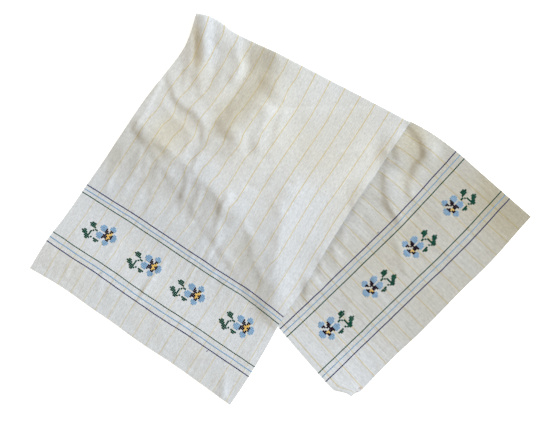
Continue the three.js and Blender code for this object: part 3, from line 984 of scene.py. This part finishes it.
class Surface:
    """Finds points on the visible part of a layer from the place on the flat cloth."""

    def __init__(self, start, stop):
        self.grid = GRID[start:stop]
        self.normals = NORMALS[start:stop]

    def at(self, across, along):
        """Points of the cloth's middle and normals. across is a share, along is in mm."""
        across = np.clip(across, 0, 1)
        column = across * COLUMNS
        c = np.minimum(column.astype(int), COLUMNS - 1)
        fc = (column - c)[:, None]
        left, right = self.grid[:, 0, 3], self.grid[:, -1, 3]
        row = np.array([
            np.interp(a, left * (1 - u) + right * u, np.arange(len(left)))
            for u, a in zip(across, along)
        ])
        r = np.minimum(row.astype(int), len(left) - 2)
        fr = (row - r)[:, None]

        def blend(values):
            low = values[r, c] * (1 - fc) + values[r, c + 1] * fc
            high = values[r + 1, c] * (1 - fc) + values[r + 1, c + 1] * fc
            return low * (1 - fr) + high * fr

        normal = blend(self.normals)
        return blend(self.grid[..., :3]), normal / np.linalg.norm(normal, axis=-1, keepdims=True)


FIRST_END = Surface(0, TOP_ROWS)
SECOND_END = Surface(len(GRID) - FLOOR_ROWS, len(GRID))


# Points round a thread
RING = 6


def thread_rings(path, width, height, face):
    """The rings of a thread that lies on one face of the cloth.

    path has (across in mm, along in mm, share of the width, share of the height).
    """
    path = np.array(path, float)
    surface = FIRST_END if path[0, 1] < LENGTH / 2 else SECOND_END
    points, normals = surface.at(path[:, 0] / WIDTH, path[:, 1])
    ahead = along_direction(points, 0)
    side = np.cross(normals, ahead)
    side /= np.linalg.norm(side, axis=-1, keepdims=True)
    base = points + normals * face * THICKNESS / 2
    rings = []
    for turn in np.arange(RING) * 2 * math.pi / RING:
        out = math.cos(turn) * path[:, 2] * width / 2
        up = (math.sin(turn) * path[:, 3] + path[:, 3] - 1) * height / 2
        rings.append(base + side * out[:, None] + normals * face * up[:, None])
    return np.stack(rings, axis=1)


def tube_faces(first, count, flipped):
    """Faces between the rings, and one over each end. first is the first point's number."""
    faces = []
    for r in range(count - 1):
        for k in range(RING):
            a = first + r * RING + k
            b = first + r * RING + (k + 1) % RING
            face = [a, b, b + RING, a + RING]
            faces.append(face if flipped else face[::-1])
    start = [first + k for k in range(RING)]
    end = [first + (count - 1) * RING + k for k in range(RING)]
    faces.append(start[::-1] if flipped else start)
    faces.append(end if flipped else end[::-1])
    return faces


class ThreadWork:
    """All the thread of one colour, gathered into one mesh."""

    def __init__(self, thread):
        self.name, self.slot = f"{thread}_stitching", f"{thread}_thread"
        self.material = THREADS[thread]
        self.points, self.faces, self.count = [], [], 0

    def lay(self, path, width, height, face):
        rings = thread_rings(path, width, height, face)
        self.faces += tube_faces(self.count, len(rings), face > 0)
        self.points.append(rings.reshape(-1, 3))
        self.count += rings.shape[0] * RING

    def make(self):
        made = mesh_object(self.name, np.concatenate(self.points), self.faces, self.material)
        return made


RIGHT_SIDE, WRONG_SIDE = 1, -1
# Along a stitch: share of the way, of its width and of its height
STITCH_PROFILE = [
    (0.00, 0.35, 0.15),
    (0.14, 0.88, 0.75),
    (0.50, 1.00, 1.00),
    (0.86, 0.88, 0.75),
    (1.00, 0.35, 0.15),
]
BAR_PROFILE = [
    (0.00, 0.72, 0.40),
    (0.14, 0.97, 0.88),
    (0.50, 1.00, 1.00),
    (0.86, 0.97, 0.88),
    (1.00, 0.72, 0.40),
]


def stitch(work, start, end, width, height, face, profile=STITCH_PROFILE):
    """One straight stitch between two places on the cloth, dipping in at both ends."""
    path = [
        (start[0] + (end[0] - start[0]) * t, start[1] + (end[1] - start[1]) * t, wide, high)
        for t, wide, high in profile
    ]
    work.lay(path, width, height, face)


def embroider_flowers(works):
    for _, share, along, size, height, way in FLOWERS:
        for row, line in enumerate(CHART):
            for column, letter in enumerate(line):
                if letter == ".":
                    continue
                thread, cross_width, bar_width, bar_length = CHART_THREADS[letter]
                x = share * WIDTH + way * (column - CHART_CENTRE[0]) * size
                y = along - way * (row - CHART_CENTRE[1]) * height
                dx, dy = size / 2, height / 2
                for sign, rise in ((1, UNDER_THREAD), (-1, OVER_THREAD)):
                    start, end = (x - dx, y - dy * sign), (x + dx, y + dy * sign)
                    stitch(works[thread], start, end, size * cross_width, rise, RIGHT_SIDE)
                if bar_width:
                    start, end = (x, y - dy * bar_length), (x, y + dy * bar_length)
                    width = size * bar_width
                    stitch(works[thread], start, end, width, BAR_HEIGHT, WRONG_SIDE, BAR_PROFILE)


def embroider_bands(works):
    for thread, along, width, band in BAND_LINES:
        stops = np.arange(0.0, WIDTH + 0.1, LINE_PITCH / 4)
        pinch = LINE_MEAN + LINE_SWING * np.cos(stops / LINE_PITCH * 2 * math.pi)
        wander = value_noise(stops / LINE_WANDER_PITCH, np.full_like(stops, along), BAND_SEED)
        stray = np.interp(stops / WIDTH, BAND_SHARES, BAND_STRAYS[band])
        course = along + (LINE_WANDER * wander + stray)
        path = list(zip(stops, course, pinch, pinch))
        for face in (RIGHT_SIDE, WRONG_SIDE):
            works[thread].lay(path, width, LINE_HEIGHT, face)


def sew_tails(works):
    for thread, across, along, run_across, run_along in TAILS:
        face = RIGHT_SIDE if along < LENGTH / 2 else WRONG_SIDE
        end = (across + run_across, along + run_along)
        stitch(works[thread], (across, along), end, TAIL_WIDTH, TAIL_HEIGHT, face, BAR_PROFILE)


def sew_hems(works):
    for along in (HEM, LENGTH - HEM):
        for across in np.arange(RUN_PITCH / 2, WIDTH - RUN_PITCH / 2, RUN_PITCH):
            slant = RUN_SLANT * value_noise(across / SLANT_PITCH, along, HEM_SEED)
            end = (across + RUN_LENGTH, along + slant)
            for face in (RIGHT_SIDE, WRONG_SIDE):
                stitch(works["cream"], (across, along), end, RUN_WIDTH, RUN_HEIGHT, face)


def build_threads():
    works = {thread: ThreadWork(thread) for thread in THREADS}
    embroider_bands(works)
    embroider_flowers(works)
    sew_tails(works)
    sew_hems(works)
    return [work.make() for work in works.values()]


# The photograph's view, from straight above
IMAGE_CENTRE = (-19.4, -4.3)
CAMERA_HEIGHT = 1387.0
LENS, SENSOR = 50.0, 36.0


def build_camera():
    data = bpy.data.cameras.new("camera")
    data.lens, data.sensor_width = LENS, SENSOR
    data.clip_start, data.clip_end = 0.01, 20.0
    camera = bpy.data.objects.new("camera", data)
    camera.location = (IMAGE_CENTRE[0] * MM, IMAGE_CENTRE[1] * MM, CAMERA_HEIGHT * MM)
    bpy.context.scene.collection.objects.link(camera)
    bpy.context.scene.camera = camera


# The floor, with a glow that keeps shadows off it
FLOOR_REACH = 6000.0
FLOOR_GLOW = 0.75
FLOOR_COLOUR = rgb(0.9, 0.9, 0.9)


def build_floor():
    n = Nodes("white_floor")
    glow = n.add("ShaderNodeEmission", inputs={"Color": rgb(1, 1, 1), "Strength": FLOOR_GLOW})
    matt = n.add("ShaderNodeBsdfDiffuse", inputs={"Color": FLOOR_COLOUR})
    both = n.add("ShaderNodeAddShader", inputs={0: glow.outputs[0], 1: matt.outputs[0]})
    r = FLOOR_REACH
    corners = [(-r, -r, 0), (r, -r, 0), (r, r, 0), (-r, r, 0)]
    floor = mesh_object("floor", corners, [(0, 1, 2, 3)], n.finish(both), False)


# Warm light from all round, and a cooler, soft key light from the right
ROOM_COLOUR, ROOM_STRENGTH = rgb(1.0, 0.84, 0.58), 0.50
KEY_COLOUR, KEY_STRENGTH = (0.69, 0.82, 1.0), 4.25
KEY_SPREAD, KEY_AZIMUTH, KEY_ELEVATION = math.radians(24), math.radians(20), math.radians(33)


def build_light():
    world = bpy.data.worlds.new("studio")
    world.use_nodes = True
    background = world.node_tree.nodes["Background"]
    background.inputs["Color"].default_value = ROOM_COLOUR
    background.inputs["Strength"].default_value = ROOM_STRENGTH
    bpy.context.scene.world = world
    sun = bpy.data.lights.new("key_light", "SUN")
    sun.energy = KEY_STRENGTH
    sun.angle = KEY_SPREAD
    sun.color = KEY_COLOUR
    key = bpy.data.objects.new("key_light", sun)
    key.rotation_euler = (0, math.pi / 2 - KEY_ELEVATION, KEY_AZIMUTH)
    bpy.context.scene.collection.objects.link(key)
    bpy.context.scene.view_settings.view_transform = "Standard"


build_camera()
build_floor()
build_light()
cloth = build_cloth()
threads = build_threads()
for piece in [cloth, *threads]:
    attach(piece, "root")
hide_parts("towel")
